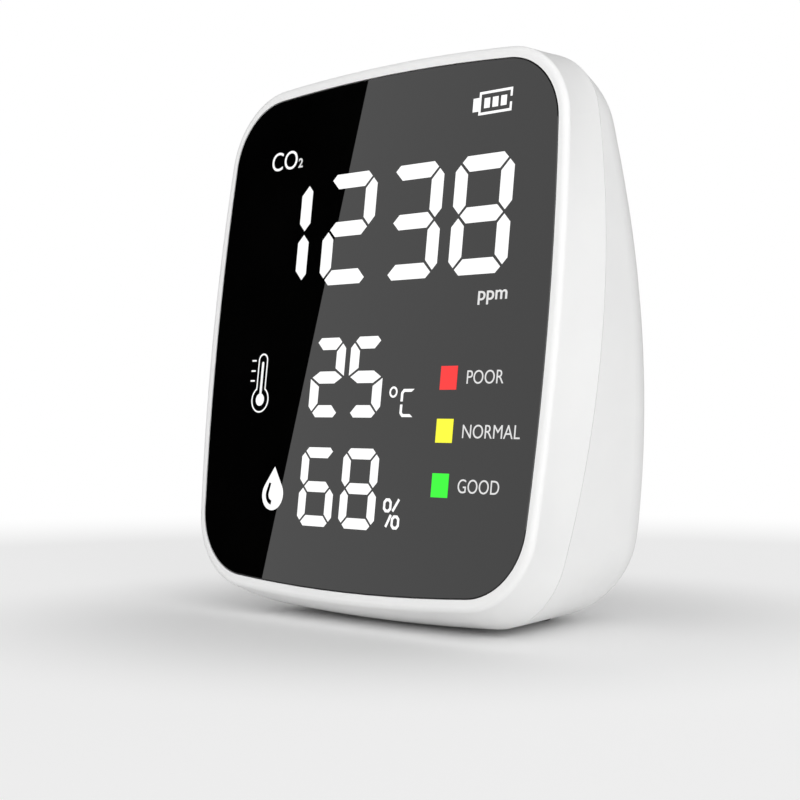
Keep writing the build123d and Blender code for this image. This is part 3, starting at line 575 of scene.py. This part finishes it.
def filled(curve):
    """Closed mesh of a flat curve, as thick as a mark."""
    curve.dimensions = "2D"
    curve.fill_mode = "BOTH"
    curve.extrude = (MARK_PROUD + MARK_SUNK) / 2
    holder = bpy.data.objects.new("outline", curve)
    bpy.context.scene.collection.objects.link(holder)
    bpy.context.view_layer.update()
    shaped = holder.evaluated_get(bpy.context.evaluated_depsgraph_get())
    data = bpy.data.meshes.new_from_object(shaped)
    bpy.data.objects.remove(holder)
    bpy.data.curves.remove(curve)
    return data


def mark_piece(name, curves, finish, axes=WINDOW_AXES, body="case"):
    """Turn filled flat curves in mm into one thin closed piece, on the window unless told."""
    mesh = bmesh.new()
    for curve in curves:
        mesh.from_mesh(filled(curve))
    bmesh.ops.remove_doubles(mesh, verts=mesh.verts, dist=WELD)
    bmesh.ops.recalc_face_normals(mesh, faces=mesh.faces)
    data = bpy.data.meshes.new(name)
    mesh.to_mesh(data)
    mesh.free()
    middle = (MARK_PROUD - MARK_SUNK) / 2
    data.transform(axes @ Matrix.Scale(MM, 4) @ Matrix.Translation((0.0, 0.0, middle)))
    data.materials.clear()
    data.materials.append(finish)
    piece = bpy.data.objects.new(name, data)
    bpy.context.scene.collection.objects.link(piece)
    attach(piece, body)
    return piece


def outline_curve(*outlines):
    """Flat curve from closed outlines; one inside another makes a hole."""
    curve = bpy.data.curves.new("outlines", "CURVE")
    curve.dimensions = "2D"
    for outline in outlines:
        spline = curve.splines.new("POLY")
        spline.points.add(len(outline) - 1)
        for point, (u, v) in zip(spline.points, outline):
            point.co = (u, v, 0.0, 1.0)
        spline.use_cyclic_u = True
    return curve


def text_curve(words, weight):
    """Lettering as a flat curve, made heavier or lighter by weight."""
    curve = bpy.data.curves.new("lettering", "FONT")
    curve.body = words
    curve.offset = weight
    curve.resolution_u = 6
    return curve


def lettering(name, words, box, weight, finish):
    """Generic lettering fitted to a box (u0, u1, v0, v1) on the window."""
    piece = mark_piece(name, [text_curve(words, weight)], finish)
    inward = WINDOW_AXES.inverted()
    spots = [inward @ vertex.co / MM for vertex in piece.data.vertices]
    low_u, high_u = min(s.x for s in spots), max(s.x for s in spots)
    low_v, high_v = min(s.y for s in spots), max(s.y for s in spots)
    u0, u1, v0, v1 = box
    for vertex, spot in zip(piece.data.vertices, spots):
        u = u0 + (spot.x - low_u) * (u1 - u0) / (high_u - low_u)
        v = v0 + (spot.y - low_v) * (v1 - v0) / (high_v - low_v)
        vertex.co = WINDOW_AXES @ (Vector((u, v, spot.z)) * MM)
    return piece


# ---------------------------------------------------------------- seven-segment digits
SEGMENTS = {                     # lit segments: a top, b c right, d bottom, e f left, g middle
    "1": "bc", "2": "abged", "3": "abgcd", "5": "afgcd", "6": "afgedc", "8": "abcdefg",
}
CORNER_CUT = 0.88                # outer corners are cut back by this much of the stroke
TAPER_RISE = 0.6                 # a tapered digit's slanted ends rise by this much of the stroke


class Digits:
    """A row of seven-segment digits: left axes, bottom axis, axis-to-axis size and strokes."""

    def __init__(self, places, v, width, height, stroke, level_stroke, gap, tapered=False):
        self.places = places
        self.v = v
        self.width = width
        self.height = height
        self.stroke = stroke
        self.level_stroke = level_stroke
        self.gap = gap           # dark line between neighbours
        self.tapered = tapered   # the middle segment runs out to points at the digit's outer sides


def corner_end(digits):
    """Three points of a segment's end at a digit corner: inner, tip, outer, in segment axes.

    The first number counts along the segment from the corner where the axes meet, the second
    across it, inwards.
    """
    half = digits.stroke / 2
    cut = CORNER_CUT * digits.stroke
    shift = digits.gap / sqrt(2)
    tip = (cut - digits.stroke + shift) / 2
    return [(half + shift, half), (tip, tip - shift), (cut - half, -half)]


def level_point(digits, along, across):
    """The same point on a level segment, whose stroke is its own."""
    return (along, across * digits.level_stroke / digits.stroke)


def middle_end(digits):
    """Points of an upright segment's end at the middle axis: from its inner to its outer side."""
    half = digits.stroke / 2
    if digits.tapered:
        rise = TAPER_RISE * digits.stroke
        shift = digits.gap / 2 * hypot(digits.stroke, rise) / digits.stroke
        return [(rise + shift, half), (shift, -half)]
    shift = digits.gap / sqrt(2)
    return [(half + shift, half), (shift, 0.0), (half + shift, -half)]


def upright(digits, right, top):
    """Outline of one upright segment, right or left, top or bottom."""
    far = digits.height / 2
    outline = corner_end(digits)
    outline += [(far - along, across) for along, across in middle_end(digits)[::-1]]
    placed = []
    for along, across in outline:
        x = digits.width - across if right else across
        y = digits.height - along if top else along
        placed.append((x, y))
    return placed


def level(digits, top):
    """Outline of the top or bottom segment."""
    end = [level_point(digits, *point) for point in corner_end(digits)]
    outline = end + [(digits.width - along, across) for along, across in end[::-1]]
    return [(x, digits.height - y if top else y) for x, y in outline]


def middle(digits):
    """Outline of the middle segment, pointed at both ends."""
    half = digits.stroke / 2
    if digits.tapered:
        rise = TAPER_RISE * digits.stroke
        tip = digits.gap / 2 * hypot(digits.stroke, rise) / rise - half
        shoulder = tip + half * digits.stroke / rise
    else:
        tip = digits.gap / sqrt(2)
        shoulder = tip + half
    points = ((shoulder, -half), (tip, 0.0), (shoulder, half))
    end = [level_point(digits, *point) for point in points]
    outline = end + [(digits.width - x, y) for x, y in end[::-1]]
    return [(x, y + digits.height / 2) for x, y in outline]


def segment_outline(digits, letter):
    """Outline of the segment with this letter."""
    if letter == "a":
        return level(digits, True)
    if letter == "d":
        return level(digits, False)
    if letter == "g":
        return middle(digits)
    return upright(digits, letter in "bc", letter in "bf")


def number(name, digits, figures, finish):
    """A row of lit figures."""
    curves = []
    for place, figure in zip(digits.places, figures):
        for letter in SEGMENTS[figure]:
            outline = segment_outline(digits, letter)
            curves.append(outline_curve([(place + x, digits.v + y) for x, y in outline]))
    return mark_piece(name, curves, finish)


CO2_DIGITS = Digits(
    (-26.41, -11.0, 3.74, 18.12), v=8.93, width=9.36, height=15.87,
    stroke=2.58, level_stroke=2.44, gap=0.46,
)
TEMP_DIGITS = Digits(
    (-11.02, -2.06), v=-12.92, width=5.69, height=10.95,
    stroke=2.06, level_stroke=1.95, gap=0.4, tapered=True,
)
HUMID_DIGITS = Digits(
    (-11.58, -1.75), v=-30.59, width=6.36, height=10.96,
    stroke=1.74, level_stroke=1.7, gap=0.38,
)


# ---------------------------------------------------------------- symbols beside the digits
THERMOMETER_U = -24.5
THERMOMETER_BULB_V = -11.0
GLASS_OUTSIDE = (1.18, 2.2, -3.19)   # half width of the tube, radius of the bulb, top of the tube
GLASS_INSIDE = (0.94, 1.94, -3.47)
COLUMN = (0.26, 1.04, -4.58)
TICK_U = (-27.36, -26.3)
TICK_V = (-4.38, -6.12, -7.8)
TICK_HALF = 0.13
DROP_U = -19.0
DROP_V = -26.75
DROP_R = 2.6
DROP_TIP_V = -22.15
SLIT_R = 1.36                    # middle of the drop's highlight
SLIT_HALF = 0.36
SLIT_TURN = (160.0, 262.0)
SLIT_TOP = ((-19.55, -24.9), (-20.1, -24.8))
BATTERY_BARS = (21.57, 22.72, 33.16, 34.71)
BATTERY_BAR_PITCH = 1.69
DEGREE_RING = (7.37, -9.9, 0.88, 0.56)   # middle, outer and inner radius
CELSIUS_V = -11.6
PERCENT_RINGS = ((8.17, -27.42), (10.12, -29.95))
PERCENT_STROKES = (((10.62, -26.42), (9.38, -28.28)), ((9.1, -28.85), (8.12, -30.72)))
PERCENT_STROKE = 0.44
STATUS_U = 18.93
STATUS_SIZE = (3.44, 3.6)
STATUS_V = {"red": -7.81, "yellow": -15.8, "green": -24.0}


def tube_and_bulb(half_w, bulb_r, top_v):
    """Thermometer outline: a round-topped tube running into a round bulb."""
    u, bulb_v = THERMOMETER_U, THERMOMETER_BULB_V
    open_angle = degrees(asin(half_w / bulb_r))
    bulb = arc(u, bulb_v, bulb_r, 90.0 + open_angle, 450.0 - open_angle)
    top = arc(u, top_v - half_w, half_w, 0.0, 180.0)
    return bulb + top


def thermometer():
    """Outlined tube, the column inside it and three scale marks."""
    glass = outline_curve(tube_and_bulb(*GLASS_OUTSIDE), tube_and_bulb(*GLASS_INSIDE))
    column = outline_curve(tube_and_bulb(*COLUMN))
    ticks = [outline_curve(box_outline(*TICK_U, v - TICK_HALF, v + TICK_HALF)) for v in TICK_V]
    return [glass, column] + ticks


def drop():
    """Water drop with the curved slit of its highlight."""
    reach = DROP_TIP_V - DROP_V
    lean = degrees(asin(DROP_R / reach))
    outline = [(DROP_U, DROP_TIP_V)] + arc(DROP_U, DROP_V, DROP_R, lean, -180.0 - lean)
    start, stop = SLIT_TURN
    outer = arc(DROP_U, DROP_V, SLIT_R + SLIT_HALF, start, stop)
    inner = arc(DROP_U, DROP_V, SLIT_R - SLIT_HALF, stop, start)
    return [outline_curve(outline, outer + inner + list(SLIT_TOP))]


def battery():
    """Open-ended battery outline with its terminal to the left, and three charge bars."""
    u0, u1, v0, v1, line = 20.51, 27.18, 32.16, 35.76, 0.39
    nub_u, nub_v0, nub_v1 = 19.28, 32.8, 34.91
    gap_v0, gap_v1 = 33.54, 34.41
    shell = [
        (u1, gap_v1), (u1, v1), (u0, v1), (u0, nub_v1), (nub_u, nub_v1), (nub_u, nub_v0), (u0, nub_v0),
        (u0, v0), (u1, v0), (u1, gap_v0), (u1 - line, gap_v0), (u1 - line, v0 + line),
        (u0 + line, v0 + line), (u0 + line, v1 - line), (u1 - line, v1 - line), (u1 - line, gap_v1),
    ]
    bars = []
    for step in range(3):
        left, right, bottom, top = BATTERY_BARS
        shift = BATTERY_BAR_PITCH * step
        bars.append(box_outline(left + shift, right + shift, bottom, top))
    return [outline_curve(outline) for outline in [shell] + bars]


def celsius():
    """Degree ring and a squared C in two halves."""
    u, v, outer_r, inner_r = DEGREE_RING
    ring = outline_curve(circle(u, v, outer_r), circle(u, v, inner_r))
    half = [
        (9.08, 0.24), (9.08, 1.62), (9.6, 2.17), (11.9, 2.17),
        (11.3, 1.72), (9.82, 1.72), (9.56, 1.45), (9.56, 0.24),
    ]
    upper = [(u, CELSIUS_V + v) for u, v in half]
    lower = [(u, CELSIUS_V - v) for u, v in half]
    return [ring, outline_curve(upper), outline_curve(lower)]


def percent():
    """Two squared rings and a stroke in two halves."""
    curves = []
    for u, v in PERCENT_RINGS:
        curves.append(outline_curve(octagon(u, v, 0.9, 1.08, 0.5), octagon(u, v, 0.46, 0.64, 0.26)))
    for start, stop in PERCENT_STROKES:
        curves.append(outline_curve(bar(start, stop, PERCENT_STROKE)))
    return curves


def status_square(colour):
    """The square of one status."""
    half_w, half_h = STATUS_SIZE[0] / 2, STATUS_SIZE[1] / 2
    v = STATUS_V[colour]
    return [outline_curve(box_outline(STATUS_U - half_w, STATUS_U + half_w, v - half_h, v + half_h))]


STATUS_GLOW = {"red": (1.0, 0.0, 0.0), "yellow": (1.0, 0.98, 0.0), "green": (0.0, 1.0, 0.0)}
WORDS = (                        # piece, words, box on the window (u0, u1, v0, v1), weight
    ("gas_subscript", "2", (-20.15, -19.05, 28.25, 29.85), 0.02),
    ("unit_letters", "ppm", (23.55, 29.35, 3.05, 5.15), 0.012),
    ("poor_word", "POOR", (22.65, 29.95, -8.77, -6.72), -0.004),
    ("normal_word", "NORMAL", (22.65, 33.95, -16.87, -14.83), -0.004),
    ("good_word", "GOOD", (22.6, 30.8, -25.0, -22.93), -0.004),
)


def add_display():
    """Everything the display shows."""
    white = lit("lit_white", WHITE[:3], 1.05)
    pale = lit("lit_pale", WHITE[:3], 0.75)
    number("co2_reading", CO2_DIGITS, "1238", white)
    number("temperature_reading", TEMP_DIGITS, "25", white)
    number("humidity_reading", HUMID_DIGITS, "68", white)
    symbols = {
        "battery_symbol": battery(),
        "thermometer_symbol": thermometer(),
        "drop_symbol": drop(),
        "celsius_symbol": celsius(),
        "percent_symbol": percent(),
    }
    for name, curves in symbols.items():
        mark_piece(name, curves, white)
    for colour, glow in STATUS_GLOW.items():
        finish = lit("lit_" + colour, glow, 1.0)
        mark_piece(colour + "_status_light", status_square(colour), finish)
    lettering("gas_letters", "CO", (-26.97, -20.5, 28.17, 31.37), 0.0, white)
    for name, words, box, weight in WORDS:
        lettering(name, words, box, weight, pale)


# ---------------------------------------------------------------- printed marks on the buttons
POWER_RING = (1.45, 1.17)        # outer and inner radius
POWER_GAP = 34.0                 # degrees left open on either side of the top
POWER_STEM = (0.3, 1.75)
MODE_BARS = (-0.8, 0.0, 0.8)
MODE_BAR_HALF = 1.2
BUTTON_LINE_HALF = 0.14


def button_axes(node):
    """Axes on a button's outer face, seen from behind: right, up and outwards."""
    low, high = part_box(node)
    behind = Vector(((low[0] + high[0]) / 2, high[1] + 0.01, (low[2] + high[2]) / 2))
    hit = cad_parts[node].ray_cast(behind, Vector((0.0, -1.0, 0.0)))
    spot, outward = hit[1], hit[2]
    right = Vector((-1.0, 0.0, 0.0))
    up = outward.cross(right)
    return Matrix.Translation(spot) @ Matrix((right, up, outward)).transposed().to_4x4()


def add_button_marks():
    """A power mark and a three-bar mode mark."""
    ink = moulded("button_ink", (0.15, 0.155, 0.16), (0.11, 0.115, 0.12), 0.5)
    outer, inner = POWER_RING
    start, stop = 90.0 + POWER_GAP, 450.0 - POWER_GAP
    ring = outline_curve(arc(0.0, 0.0, outer, start, stop) + arc(0.0, 0.0, inner, stop, start))
    line = BUTTON_LINE_HALF
    half = MODE_BAR_HALF
    stem = outline_curve(box_outline(-line, line, *POWER_STEM))
    bars = [outline_curve(box_outline(-half, half, v - line, v + line)) for v in MODE_BARS]
    power, mode = button_axes("power_button"), button_axes("mode_button")
    mark_piece("power_mark", [ring, stem], ink, power, "power_key")
    mark_piece("mode_mark", bars, ink, mode, "mode_key")


# ---------------------------------------------------------------- build
bpy.context.scene.view_settings.view_transform = "Standard"
camera = add_camera()
add_world()
add_floor()
add_card(camera)
add_softbox("key_softbox", **KEY_SOFTBOX)
add_softbox("top_softbox", **TOP_SOFTBOX)
dress_nodes(finishes())
add_display()
add_button_marks()
